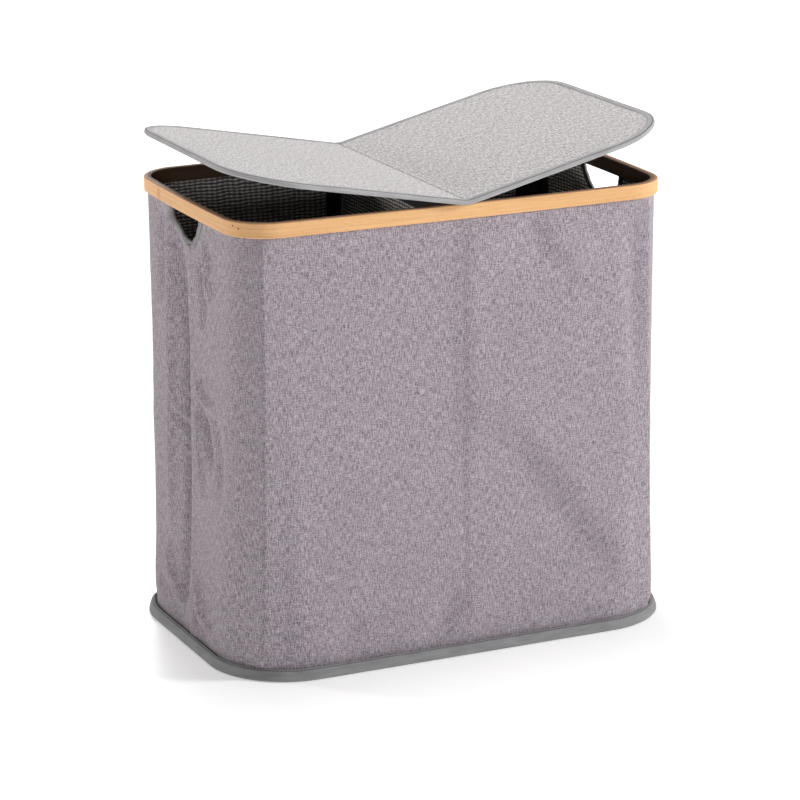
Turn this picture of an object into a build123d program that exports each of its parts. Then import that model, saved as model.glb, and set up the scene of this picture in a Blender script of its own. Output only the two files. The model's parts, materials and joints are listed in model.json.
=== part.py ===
from build123d import *

import os
from math import cos, radians, sin, sqrt

# Two-compartment laundry hamper: a bamboo hoop carries a soft fabric body that four corner rods hold up.
# The origin is on the floor under the middle of the body. +Z is up and -Y is the front.
# The lid is two stiffened fabric leaves on a soft spine, which hook-and-loop tape holds on the divider.
# Lengths are in millimetres and angles in degrees.

# Bamboo rim, measured over its outer face
rim_width = 534.0
rim_depth = 336.0
rim_corner = 52.0
rim_front_bow = 4.4
rim_end_bow = 3.9
rim_height = 17.0
rim_top = 520.0
rim_edge = 1.6
outer_hoop_wall = 4.2
inner_hoop_wall = 2.7
rim_lip = 5.0

# Fabric body: how far the walls flare out at the floor, past the rim's outer face
end_flare = 4.0
front_flare = 5.0
base_corner = 87.0
fabric = 1.2
lining = 0.7
ply_gap = 0.2
hem_depth = 11.0

# Floor of the body
base_cloth = 1.2
base_board = 3.0
base_liner = 0.8
board_margin = 2.0
binding_reach = 9.0
binding_wall = 5.0
binding_height = 13.0

# Hand holes under the rim at both ends
hand_half_width = 42.0
hand_depth = 34.0
hand_tape = 8.0
hand_tape_wall = 4.4

# Corner rods in sewn sleeves
rod_diameter = 6.0
rod_clearance = 0.5
rod_cap_diameter = 8.0
rod_cap_length = 12.0
rod_cap_wall = 1.0
rod_cap_play = 0.02
sleeve_cloth = 0.8
sleeve_half_width = 18.0

# Divider and the tapes that hold its ends
divider_thickness = 2.4
divider_hem_thickness = 6.0
divider_hem_height = 24.0
divider_tape_width = 39.0
divider_tape = 1.0
loop_strip_width = 16.0
loop_strip = 1.2
divider_end_gap = 0.5
divider_floor_gap = 0.5

# Lid leaves, and how far they hang over the rim
lid_end_overhang = 5.0
lid_front_overhang = 11.0
lid_corner = 82.0
lid_board = 2.4
lid_cloth = 0.7
lid_tape_width = 9.0
lid_tape = 0.8
lid_hinge_offset = 4.0
lid_leaf_start = 1.0
left_leaf_angle = 10.8
right_leaf_angle = 13.6
lid_rest_gap = 0.4
spine_half_width = 1.4
spine_rise = 0.5
hook_strip = 1.0
hook_strip_width = 14.0
hook_strip_gap = 0.3

# Brads through the lap joint of the hoop
brad_diameter = 1.6
brad_length = 7.0
brad_proud = 0.3
brad_angles = (203, 212)
brad_drops = (4.5, 7.0)

# Derived sizes and places
base_width = rim_width + 2 * end_flare
base_depth = rim_depth + 2 * front_flare
lid_width = rim_width + 2 * lid_end_overhang
lid_depth = rim_depth + 2 * lid_front_overhang
rim_bottom = rim_top - rim_height
hem_slot = fabric + 2 * ply_gap
wall_bottom = base_cloth + ply_gap
floor_board_bottom = base_cloth + ply_gap
floor_board_top = floor_board_bottom + base_board
floor_liner_bottom = floor_board_top + ply_gap
floor_liner_top = floor_liner_bottom + base_liner
body_inset = outer_hoop_wall + ply_gap
lining_inset = fabric + ply_gap
inner_face_inset = lining_inset + lining
cut_depth = 60.0

lid_sandwich = lid_board + 2 * lid_cloth + 2 * ply_gap
lid_half_thickness = lid_sandwich / 2 + ply_gap + lid_tape
hinge_height = rim_top + lid_rest_gap + lid_half_thickness

os.makedirs("parts", exist_ok=True)


def save(part, label):
    """Name a finished piece and write it under that name."""
    part.label = label
    export_step(part, f"parts/{label}.step")


def rounded_outline(width, depth, corner, inset=0.0):
    """Add a rounded rectangle to the open sketch, drawn in by inset on every side."""
    RectangleRounded(width - 2 * inset, depth - 2 * inset, corner - inset)


def rim_outline(inset):
    """Add the hoop's outline, whose sides bow outwards between its corners."""
    x, y = rim_width / 2 - inset, rim_depth / 2 - inset
    x_end, y_end = x - rim_end_bow, y - rim_front_bow
    with BuildSketch(mode=Mode.PRIVATE) as hoop:
        with BuildLine():
            ThreePointArc((-x_end, -y_end), (0, -y), (x_end, -y_end))
            ThreePointArc((x_end, -y_end), (x, 0), (x_end, y_end))
            ThreePointArc((x_end, y_end), (0, y), (-x_end, y_end))
            ThreePointArc((-x_end, y_end), (-x, 0), (-x_end, -y_end))
        make_face()
        fillet(hoop.vertices(), rim_corner - inset)
    add(hoop.sketch)


def base_outline(inset):
    rounded_outline(base_width, base_depth, base_corner, inset)


def wall_half_size(overall_top, overall_bottom, z, inset):
    """Half the body's width or depth at height z, inset from its outer face."""
    top = overall_top / 2 - body_inset
    share = (z - wall_bottom) / (rim_bottom - wall_bottom)
    return overall_bottom / 2 + share * (top - overall_bottom / 2) - inset


def half_depth(z, inset):
    return wall_half_size(rim_depth, base_depth, z, inset)


def half_width(z, inset):
    return wall_half_size(rim_width, base_width, z, inset)


# ---------------------------------------------------------------- bamboo rim

with BuildPart() as rim_outer_hoop:
    with BuildSketch(Plane.XY.offset(rim_bottom)):
        rim_outline(0)
        with BuildSketch(mode=Mode.PRIVATE) as outer_hoop_hole:
            rim_outline(outer_hoop_wall)
        add(outer_hoop_hole.sketch, mode=Mode.SUBTRACT)
    extrude(amount=rim_height)
    top_outline = rim_outer_hoop.faces().sort_by(Axis.Z)[-1].outer_wire().edges()
    bottom_outline = rim_outer_hoop.faces().sort_by(Axis.Z)[0].outer_wire().edges()
    fillet(top_outline + bottom_outline, rim_edge)

inner_hoop_inset = outer_hoop_wall + hem_slot
with BuildPart() as rim_inner_hoop:
    with BuildSketch(Plane.XY.offset(rim_bottom)):
        rim_outline(inner_hoop_inset)
    extrude(amount=rim_height)
    with BuildSketch(Plane.XY.offset(rim_top - rim_lip)):
        rim_outline(body_inset)
    extrude(amount=rim_lip)
    with BuildSketch(Plane.XY.offset(rim_bottom)):
        rim_outline(inner_hoop_inset + inner_hoop_wall)
    extrude(amount=rim_height, mode=Mode.SUBTRACT)
    inner_mouth = rim_inner_hoop.faces().sort_by(Axis.Z)[-1].inner_wires()[0].edges()
    fillet(inner_mouth, rim_edge)

# Two brads pin the hoop's lap joint round the front left corner, driven square to its face
corner_x = rim_width / 2 - rim_corner
corner_y = rim_depth / 2 - rim_corner
with BuildPart() as lap_brads:
    for angle, drop in zip(brad_angles, brad_drops):
        outward = Vector(cos(radians(angle)), sin(radians(angle)), 0)
        through = Axis((-corner_x, -corner_y, rim_top - drop), outward)
        crossings = [point for point, normal in rim_outer_hoop.part.find_intersection_points(through)]
        head = min(crossings, key=lambda point: point.X) + outward * brad_proud
        with BuildSketch(Plane(origin=head, z_dir=outward)):
            Circle(brad_diameter / 2)
        extrude(amount=-brad_length)
for hoop in (rim_outer_hoop, rim_inner_hoop):
    with hoop:
        add(lap_brads.part, mode=Mode.SUBTRACT)

save(rim_outer_hoop.part, "rim_outer_hoop")
save(rim_inner_hoop.part, "rim_inner_hoop")
save(lap_brads.part, "lap_brads")

# ---------------------------------------------------------------- fabric walls


def wall_shell(inset, thickness):
    """Sloping wall from the floor to the rim's underside, as a closed tube of one ply."""
    with BuildPart() as shell:
        for mode, draw_in in ((Mode.ADD, inset), (Mode.SUBTRACT, inset + thickness)):
            with BuildSketch(Plane.XY.offset(wall_bottom)):
                base_outline(draw_in)
            with BuildSketch(Plane.XY.offset(rim_bottom)):
                rim_outline(body_inset + draw_in)
            loft(mode=mode)
    return shell.part


def hand_hole_tool(grow):
    """Half ellipse under the rim, cut along X through both ends."""
    with BuildPart() as tool:
        with BuildSketch(Plane.YZ):
            with Locations((0, rim_bottom)):
                Ellipse(hand_half_width + grow, hand_depth + grow)
            with Locations((0, rim_bottom)):
                Rectangle(
                    3 * hand_half_width,
                    2 * (hand_depth + grow),
                    align=(Align.CENTER, Align.MIN),
                    mode=Mode.SUBTRACT,
                )
        extrude(amount=rim_width / 2 + cut_depth, both=True)
    return tool.part


outer_wall = wall_shell(0, fabric)
lining_wall = wall_shell(lining_inset, lining)
taped_hole = hand_hole_tool(hand_tape + ply_gap)

with BuildPart() as body_tube:
    add(outer_wall)
    with BuildSketch(Plane.XY.offset(rim_bottom)):
        rim_outline(body_inset)
        with BuildSketch(mode=Mode.PRIVATE) as hem_hole:
            rim_outline(body_inset + fabric)
        add(hem_hole.sketch, mode=Mode.SUBTRACT)
    extrude(amount=hem_depth)
    add(taped_hole, mode=Mode.SUBTRACT)
    add(lap_brads.part, mode=Mode.SUBTRACT)

with BuildPart() as lining_tube:
    add(lining_wall)
    add(taped_hole, mode=Mode.SUBTRACT)
    with BuildSketch(Plane.XY.offset(rim_bottom - ply_gap)):
        rim_outline(0)
    extrude(amount=rim_height, mode=Mode.SUBTRACT)

for tube, ply in ((body_tube, "body_panel"), (lining_tube, "lining")):
    for end, kept in (("front", Keep.BOTTOM), ("back", Keep.TOP)):
        with BuildPart() as half:
            add(tube.part)
            split(bisect_by=Plane.ZX, keep=kept)
        save(half.part, f"{end}_{ply}")

# Edge tape round each hand hole, wrapped over both plies
for side, x_out in (("left", -1), ("right", 1)):
    tape_middle = half_width(rim_bottom - hand_depth / 2, inner_face_inset / 2)
    tape_plane = Plane(
        origin=(x_out * (tape_middle - hand_tape_wall / 2), 0, 0),
        x_dir=(0, 1, 0),
        z_dir=(1, 0, 0),
    )
    if x_out < 0:
        tape_plane = tape_plane.offset(-hand_tape_wall)
    with BuildPart() as hand_tape_loop:
        with BuildSketch(tape_plane):
            with Locations((0, rim_bottom)):
                Ellipse(hand_half_width + hand_tape, hand_depth + hand_tape)
                Ellipse(hand_half_width, hand_depth, mode=Mode.SUBTRACT)
            with Locations((0, rim_bottom - ply_gap)):
                Rectangle(
                    3 * hand_half_width,
                    2 * hand_depth,
                    align=(Align.CENTER, Align.MIN),
                    mode=Mode.SUBTRACT,
                )
        extrude(amount=hand_tape_wall)
    save(hand_tape_loop.part, f"{side}_hand_hole_tape")

# ---------------------------------------------------------------- floor

binding_inset = binding_reach - binding_wall
with BuildPart() as base_cloth_panel:
    with BuildSketch():
        base_outline(-binding_inset + ply_gap)
    extrude(amount=base_cloth)
save(base_cloth_panel.part, "base_cloth")

with BuildPart() as base_binding:
    with BuildSketch(Plane.XY.offset(ply_gap)):
        base_outline(-binding_reach)
        with BuildSketch(mode=Mode.PRIVATE) as binding_hole:
            base_outline(-binding_inset)
        add(binding_hole.sketch, mode=Mode.SUBTRACT)
    extrude(amount=binding_height)
    fillet(base_binding.faces().filter_by(Axis.Z).edges(), binding_wall / 2 - ply_gap)
save(base_binding.part, "base_binding")

with BuildPart() as floor_board:
    with BuildSketch(Plane.XY.offset(floor_board_bottom)):
        base_outline(inner_face_inset + board_margin)
    extrude(amount=base_board)
save(floor_board.part, "floor_board")

with BuildPart() as floor_liner:
    with BuildSketch(Plane.XY.offset(floor_liner_bottom)):
        base_outline(inner_face_inset + board_margin)
    extrude(amount=base_liner)
save(floor_liner.part, "floor_liner")

# ---------------------------------------------------------------- corner rods

sleeve_bottom = floor_liner_top + ply_gap
sleeve_top = rim_bottom - ply_gap
rod_top = sleeve_top - ply_gap
sleeve_height = sleeve_top - sleeve_bottom
rod_height = rod_top - sleeve_bottom - ply_gap
pocket_radius = rod_cap_diameter / 2 + rod_clearance
sleeve_lining = wall_shell(inner_face_inset + ply_gap, sleeve_cloth)


def sleeve_reach(z):
    """How far out the sleeve's inner face is at height z, on the corner's diagonal."""
    diagonal = Axis((corner_x, corner_y, z), (1, 1, 0))
    crossings = [point for point, normal in sleeve_lining.find_intersection_points(diagonal)]
    return min(point.X - corner_x for point in crossings if point.X > corner_x)


rod_reach = min(sleeve_reach(sleeve_bottom), sleeve_reach(sleeve_top)) - pocket_radius / sqrt(2)


def corner_place(sign_x, sign_y):
    """Middle of a corner's rod, which stands upright against the inside of its sleeve."""
    return sign_x * (corner_x + rod_reach), sign_y * (corner_y + rod_reach)


for y_name, sign_y in (("front", -1), ("back", 1)):
    for x_name, sign_x in (("left", -1), ("right", 1)):
        corner = f"{y_name}_{x_name}"
        rod_x, rod_y = corner_place(sign_x, sign_y)
        sleeve_foot = Plane(
            origin=(rod_x, rod_y, sleeve_bottom), x_dir=(sign_x, sign_y, 0), z_dir=(0, 0, 1)
        )
        with BuildPart() as sleeve:
            add(sleeve_lining)
            with BuildSketch(sleeve_foot):
                Rectangle(2 * rim_corner, 2 * sleeve_half_width)
            extrude(amount=sleeve_height, mode=Mode.INTERSECT)
            with BuildSketch(sleeve_foot):
                Circle(pocket_radius + sleeve_cloth)
            extrude(amount=sleeve_height)
            with BuildSketch(sleeve_foot):
                Circle(pocket_radius)
            extrude(amount=sleeve_height, mode=Mode.SUBTRACT)
        save(sleeve.part, f"sleeve_{corner}")

        with BuildPart() as rod:
            with BuildSketch(Plane.XY.offset(sleeve_bottom + rod_cap_wall + ply_gap)):
                with Locations((rod_x, rod_y)):
                    Circle(rod_diameter / 2)
            extrude(amount=rod_height - 2 * (rod_cap_wall + ply_gap))
        save(rod.part, f"rod_{corner}")

with BuildPart() as rod_caps:
    for sign_x in (-1, 1):
        for sign_y in (-1, 1):
            rod_x, rod_y = corner_place(sign_x, sign_y)
            cap_foot = sleeve_bottom + ply_gap / 2
            cap_head = sleeve_bottom + rod_height - rod_cap_length
            hollow = rod_cap_length - rod_cap_wall
            for z, hollow_z in ((cap_foot, cap_foot + rod_cap_wall), (cap_head, cap_head)):
                with BuildSketch(Plane.XY.offset(z)):
                    with Locations((rod_x, rod_y)):
                        Circle(rod_cap_diameter / 2)
                extrude(amount=rod_cap_length)
                with BuildSketch(Plane.XY.offset(hollow_z)):
                    with Locations((rod_x, rod_y)):
                        Circle(rod_diameter / 2 + rod_cap_play)
                extrude(amount=hollow, mode=Mode.SUBTRACT)
save(rod_caps.part, "rod_end_caps")

# ---------------------------------------------------------------- divider

tape_inset = inner_face_inset + ply_gap
tape_top = rim_bottom - ply_gap
tape_bottom = sleeve_bottom
for y_name, sign_y in (("front", -1), ("back", 1)):
    with BuildPart() as divider_tape_strip:
        with BuildSketch(Plane.YZ.offset(-divider_tape_width / 2)):
            with BuildLine():
                Polyline(
                    (sign_y * half_depth(tape_bottom, tape_inset), tape_bottom),
                    (sign_y * half_depth(tape_top, tape_inset), tape_top),
                    (sign_y * half_depth(tape_top, tape_inset + divider_tape), tape_top),
                    (sign_y * half_depth(tape_bottom, tape_inset + divider_tape), tape_bottom),
                    close=True,
                )
            make_face()
        extrude(amount=divider_tape_width)
    save(divider_tape_strip.part, f"divider_tape_{y_name}")

divider_inset = tape_inset + divider_tape + divider_end_gap
divider_bottom = sleeve_bottom + divider_floor_gap
divider_top = rim_top - lid_rest_gap - hook_strip - hook_strip_gap - loop_strip - ply_gap
hoop_half_depth = rim_depth / 2 - inner_hoop_inset - inner_hoop_wall - divider_end_gap
divider_shoulder = rim_bottom - 2 * divider_end_gap
with BuildPart() as divider_panel:
    with BuildSketch(Plane.YZ.offset(-divider_thickness / 2)):
        with BuildLine():
            Polyline(
                (half_depth(divider_bottom, divider_inset), divider_bottom),
                (half_depth(divider_shoulder, divider_inset), divider_shoulder),
                (hoop_half_depth, divider_shoulder),
                (hoop_half_depth, divider_top),
                (0, divider_top),
                (0, divider_bottom),
                close=True,
            )
        make_face()
        mirror(about=Plane.YZ)
    extrude(amount=divider_thickness)
save(divider_panel.part, "divider_panel")

# The hem is a folded strip over the panel's upper edge
with BuildPart() as divider_hem:
    for sign_x in (-1, 1):
        cheek = (divider_hem_thickness - divider_thickness) / 2 - ply_gap
        x_middle = sign_x * (divider_thickness / 2 + ply_gap + cheek / 2)
        with Locations((x_middle, 0, divider_top - divider_hem_height / 2)):
            Box(cheek, 2 * (hoop_half_depth - divider_end_gap), divider_hem_height)
save(divider_hem.part, "divider_top_hem")

with BuildPart() as loop_tape:
    with Locations((0, 0, divider_top + ply_gap + loop_strip / 2)):
        Box(loop_strip_width, 2 * hoop_half_depth - rim_corner, loop_strip)
    fillet(loop_tape.edges().filter_by(Axis.Z), loop_strip_width / 4)
save(loop_tape.part, "divider_loop_strip")

# ---------------------------------------------------------------- lid

with BuildPart() as lid_spine:
    with BuildSketch(Plane.XY.offset(hinge_height - lid_sandwich / 2)):
        Rectangle(2 * spine_half_width, lid_depth - 2 * lid_tape)
    extrude(amount=lid_sandwich / 2 + spine_rise)
save(lid_spine.part, "lid_spine")

with BuildPart() as hook_tape:
    hook_top = hinge_height - lid_sandwich / 2 - ply_gap / 2
    hook_bottom = divider_top + ply_gap + loop_strip + hook_strip_gap
    with Locations((0, 0, (hook_top + hook_bottom) / 2)):
        Box(2 * spine_half_width, 2 * hoop_half_depth - rim_corner, hook_top - hook_bottom)
    with Locations((0, 0, hook_bottom + hook_strip / 2)):
        Box(hook_strip_width, 2 * hoop_half_depth - rim_corner, hook_strip)
save(hook_tape.part, "lid_hook_strip")


def leaf_plane(sign_x, angle, height):
    """Plane of a leaf: its x runs out from the hinge line and its z is the leaf's upper side."""
    run, rise = cos(radians(angle)), sin(radians(angle))
    hinge = Plane(
        origin=(sign_x * lid_hinge_offset, 0, hinge_height),
        x_dir=(sign_x * run, 0, rise),
        z_dir=(-sign_x * rise, 0, run),
    )
    return hinge.offset(height)


def leaf_outline(inset, start):
    """Half of the lid's rounded outline, from start beyond the hinge line to the free end."""
    with Locations((-lid_hinge_offset, 0)):
        RectangleRounded(lid_width - 2 * inset, lid_depth - 2 * inset, lid_corner - inset)
    with Locations((start, 0)):
        Rectangle(lid_width, lid_depth, align=(Align.MAX, Align.CENTER), mode=Mode.SUBTRACT)


def leaf_ply(sign_x, angle, height, thickness, inset):
    """One flat layer of a leaf."""
    with BuildPart() as ply:
        with BuildSketch(leaf_plane(sign_x, angle, height)):
            leaf_outline(inset, lid_leaf_start)
        extrude(amount=thickness)
    return ply.part


def leaf_binding(sign_x, angle):
    """Folded tape round the leaf's three free edges, open inwards for the plies."""
    with BuildPart() as binding:
        with BuildSketch(leaf_plane(sign_x, angle, -lid_half_thickness)):
            leaf_outline(0, lid_leaf_start)
        extrude(amount=2 * lid_half_thickness)
        with BuildSketch(leaf_plane(sign_x, angle, -lid_half_thickness)):
            leaf_outline(lid_tape_width, lid_leaf_start)
        extrude(amount=2 * lid_half_thickness, mode=Mode.SUBTRACT)
        with BuildSketch(leaf_plane(sign_x, angle, lid_tape - lid_half_thickness)):
            leaf_outline(lid_tape, lid_leaf_start)
        extrude(amount=2 * (lid_half_thickness - lid_tape), mode=Mode.SUBTRACT)
    return binding.part


plies = {
    "lid_board": (-lid_board / 2, lid_board),
    "lid_cover": (lid_board / 2 + ply_gap, lid_cloth),
    "lid_underside": (-lid_board / 2 - ply_gap - lid_cloth, lid_cloth),
}
for side, sign_x, angle in (("left", -1, left_leaf_angle), ("right", 1, right_leaf_angle)):
    for ply_name, (height, thickness) in plies.items():
        leaf = leaf_ply(sign_x, angle, height, thickness, lid_tape + ply_gap)
        save(leaf, f"{side}_{ply_name}")
    save(leaf_binding(sign_x, angle), f"{side}_lid_binding")
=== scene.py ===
import json
from math import cos, hypot, pi, radians, sin

import bmesh
import bpy
import numpy as np
from mathutils import Matrix, Vector


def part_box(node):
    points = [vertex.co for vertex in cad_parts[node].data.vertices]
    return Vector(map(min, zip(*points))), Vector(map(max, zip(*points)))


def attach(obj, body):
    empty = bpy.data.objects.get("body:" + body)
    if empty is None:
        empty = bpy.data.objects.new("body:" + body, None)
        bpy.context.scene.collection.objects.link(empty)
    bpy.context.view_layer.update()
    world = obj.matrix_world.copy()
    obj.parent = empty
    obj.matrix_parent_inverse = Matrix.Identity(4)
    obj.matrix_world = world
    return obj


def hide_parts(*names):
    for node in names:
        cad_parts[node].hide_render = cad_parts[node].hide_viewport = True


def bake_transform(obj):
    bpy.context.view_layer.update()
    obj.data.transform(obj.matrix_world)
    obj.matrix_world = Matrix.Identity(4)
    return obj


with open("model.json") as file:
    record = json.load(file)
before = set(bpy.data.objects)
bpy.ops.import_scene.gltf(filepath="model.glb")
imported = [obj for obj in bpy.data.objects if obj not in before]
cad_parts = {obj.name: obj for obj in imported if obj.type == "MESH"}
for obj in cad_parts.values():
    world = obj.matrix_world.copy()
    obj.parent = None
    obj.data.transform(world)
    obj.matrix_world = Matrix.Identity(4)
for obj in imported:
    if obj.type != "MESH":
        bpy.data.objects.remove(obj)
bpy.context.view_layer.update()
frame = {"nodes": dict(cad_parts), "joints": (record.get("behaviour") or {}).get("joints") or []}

# Laundry hamper: a bamboo rim, soft walls on four corner rods, a divider and a two-leaf lid.
# Metres, +Z up, the front at -Y. The rim, rods, boards and hook tape stay as packed and only get
# finishes, as do the base cloth, floor liner, divider hem, loop strip and lid spine. Every other cloth piece
# is made here, where the imported model says, and replaces its plain solid.

bpy.ops.object.select_all(action="DESELECT")

view = {
    "azimuth": -24.69,
    "elevation": 15.76,
    "roll": -0.38,
    "distance": 3.898,
    "lens": 151.16,
    "target": (0, 0, 0.26),
    "shift": (-0.0017, -0.0063),
}

body = {
    "rimInset": 0.0044,  # the cloth lies this far inside the hoop's outer face
    "rimCorner": 0.0435,
    "endBow": 0.0039,
    "frontBow": 0.0044,
    "footCorner": 0.087,
    "tuck": 0.006,  # how far the cloth goes up between the hoops
    "thickness": 0.0011,
    "liningInset": 0.0022,
    "liningThickness": 0.0006,
    "rows": 132,
    "liningRows": 100,
    "endColumns": 34,
    "cornerColumns": 44,
    "frontColumns": 164,
    "seamAt": -0.010,  # where the front panel's edge laps over the back panel, on both ends
    "seamLap": 0.008,
    "ridgeAngle": (50.0, 64.0),  # where a rod stands behind its corner, at the foot and at the rim
    "ridgeReach": 25.0,
    "ridgeSharp": 2600.0,
}

rimLow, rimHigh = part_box("rim_outer_hoop")
wallLow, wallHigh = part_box("front_body_panel")
dividerLow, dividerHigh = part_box("divider_panel")
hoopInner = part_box("divider_top_hem")[1].y + 0.0005  # clear of the inner hoop
sleeveLow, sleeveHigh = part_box("sleeve_front_left")
rimX, rimY = rimHigh.x, rimHigh.y
rimBottom = rimLow.z
footX, footY = wallHigh.x, -wallLow.y
wallFoot = wallLow.z
bodyName = "hamper_body"
hinges = {}
for joint in frame["joints"]:
    if joint["type"] == "hinge":
        side = "left" if joint["child"] == "left_leaf" else "right"
        hinges[side] = {"angle": radians(-joint["range_deg"][0]), "height": joint["pos_m"][2]}


def nodeTree(name):
    material = bpy.data.materials.new(name)
    material.use_nodes = True
    tree = material.node_tree
    shader = tree.nodes["Principled BSDF"]
    return material, tree, shader


def addMath(tree, operation, first, second=None):
    node = tree.nodes.new("ShaderNodeMath")
    node.operation = operation
    for place, value in enumerate((first, second)):
        if value is None:
            continue
        if isinstance(value, (int, float)):
            node.inputs[place].default_value = value
        else:
            tree.links.new(value, node.inputs[place])
    return node.outputs[0]


def plus(tree, first, second):
    return addMath(tree, "ADD", first, second)


def minus(tree, first, second):
    return addMath(tree, "SUBTRACT", first, second)


def times(tree, first, second):
    return addMath(tree, "MULTIPLY", first, second)


def addMix(tree, factor, first, second, blend="MIX"):
    node = tree.nodes.new("ShaderNodeMix")
    node.data_type = "RGBA"
    node.blend_type = blend
    if isinstance(factor, (int, float)):
        node.inputs[0].default_value = factor
    else:
        tree.links.new(factor, node.inputs[0])
    for place, value in ((6, first), (7, second)):
        if isinstance(value, (tuple, list)):
            node.inputs[place].default_value = (*value[:3], 1)
        else:
            tree.links.new(value, node.inputs[place])
    return node.outputs[2]


def addRamp(tree, source, stops):
    node = tree.nodes.new("ShaderNodeValToRGB")
    ramp = node.color_ramp
    while len(ramp.elements) < len(stops):
        ramp.elements.new(0.5)
    for element, (place, colour) in zip(ramp.elements, stops):
        element.position = place
        element.color = (*colour, 1)
    tree.links.new(source, node.inputs[0])
    return node.outputs[0]


def addNoise(tree, vector, stretch, detail=2.0, roughness=0.5, offset=(0, 0, 0)):
    # Noise whose size along each direction is set in metres
    mapping = tree.nodes.new("ShaderNodeMapping")
    mapping.inputs["Scale"].default_value = tuple(1 / size for size in stretch)
    mapping.inputs["Location"].default_value = offset
    tree.links.new(vector, mapping.inputs["Vector"])
    noise = tree.nodes.new("ShaderNodeTexNoise")
    noise.inputs["Scale"].default_value = 1
    noise.inputs["Detail"].default_value = detail
    noise.inputs["Roughness"].default_value = roughness
    tree.links.new(mapping.outputs[0], noise.inputs["Vector"])
    return noise.outputs["Fac"]


def uvVector(tree):
    node = tree.nodes.new("ShaderNodeUVMap")
    node.uv_map = "cut"
    return node.outputs[0]


def objectVector(tree):
    node = tree.nodes.new("ShaderNodeTexCoord")
    return node.outputs["Object"]


def addBump(tree, shader, height, strength, distance):
    node = tree.nodes.new("ShaderNodeBump")
    node.inputs["Strength"].default_value = strength
    node.inputs["Distance"].default_value = distance
    tree.links.new(height, node.inputs["Height"])
    tree.links.new(node.outputs[0], shader.inputs["Normal"])
    return node


def threads(tree, vector, pitch, direction):
    # Fine ridges across the cloth, one for each thread
    parts = tree.nodes.new("ShaderNodeSeparateXYZ")
    tree.links.new(vector, parts.inputs[0])
    along = times(tree, parts.outputs[direction], 2 * pi / pitch)
    return addMath(tree, "SINE", along)


def melangeCloth(name, colours, pitch=0.0013, slub=0.014, contrast=1.0):
    # Linen-look weave: light and dark slubs along both threads, on a mottled ground
    material, tree, shader = nodeTree(name)
    vector = uvVector(tree)
    warp = addNoise(tree, vector, (pitch, slub * 1.4, 1), 2, 0.7)
    weft = addNoise(tree, vector, (slub * 0.7, pitch, 1), 1, 0.5, (3.1, 7.7, 0))
    speck = addNoise(tree, vector, (pitch, pitch * 1.2, 1), 1, 0.5, (9.2, 1.3, 0))
    cloud = addNoise(tree, vector, (0.045, 0.06, 1), 3, 0.5, (5.5, 2.2, 0))
    both = plus(tree, times(tree, warp, 0.46), times(tree, weft, 0.16))
    both = plus(tree, both, times(tree, speck, 0.38))
    spread = plus(tree, times(tree, minus(tree, both, 0.5), contrast), 0.5)
    dark, middle, light = colours["dark"], colours["middle"], colours["light"]
    colour = addRamp(tree, spread, ((0.34, dark), (0.5, middle), (0.66, light)))
    # Single pale and dark threads stand out both ways
    fine = pitch * 0.9
    for index, (place, stretch) in enumerate(((2.7, (fine, slub * 1.9, 1)), (6.1, (slub * 1.6, fine, 1)))):
        thread = addNoise(tree, vector, stretch, 1, 0.5, (place, place, 0))
        pale = addRamp(tree, thread, ((0.57, (0, 0, 0)), (0.67, (1, 1, 1))))
        deep = addRamp(tree, thread, ((0.33, (1, 1, 1)), (0.43, (0, 0, 0))))
        colour = addMix(tree, times(tree, pale, 0.65 - 0.1 * index), colour, light)
        colour = addMix(tree, times(tree, deep, 0.60 - 0.1 * index), colour, dark)
    tint = addNoise(tree, vector, (pitch * 2.5, slub * 2, 1), 2, 0.5, (4.4, 0.6, 0))
    tinted = addRamp(tree, tint, ((0.40, (0, 0, 0)), (0.60, (1, 1, 1))))
    colour = addMix(tree, times(tree, tinted, 0.25), colour, colours["tint"])
    shade = addRamp(tree, cloud, ((0.3, (0.97, 0.97, 0.97)), (0.7, (1.02, 1.02, 1.02))))
    colour = addMix(tree, 1.0, colour, shade, "MULTIPLY")
    tree.links.new(colour, shader.inputs["Base Color"])
    rough = plus(tree, times(tree, warp, 0.25), 0.72)
    tree.links.new(rough, shader.inputs["Roughness"])
    shader.inputs["Specular IOR Level"].default_value = 0.25
    shader.inputs["Sheen Weight"].default_value = 0.12
    shader.inputs["Sheen Roughness"].default_value = 0.5
    weave = times(tree, threads(tree, vector, pitch, 0), threads(tree, vector, pitch, 1))
    height = plus(tree, times(tree, weave, 0.22), times(tree, both, 1.6))
    addBump(tree, shader, height, 0.30, 0.0004)
    return material


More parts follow.
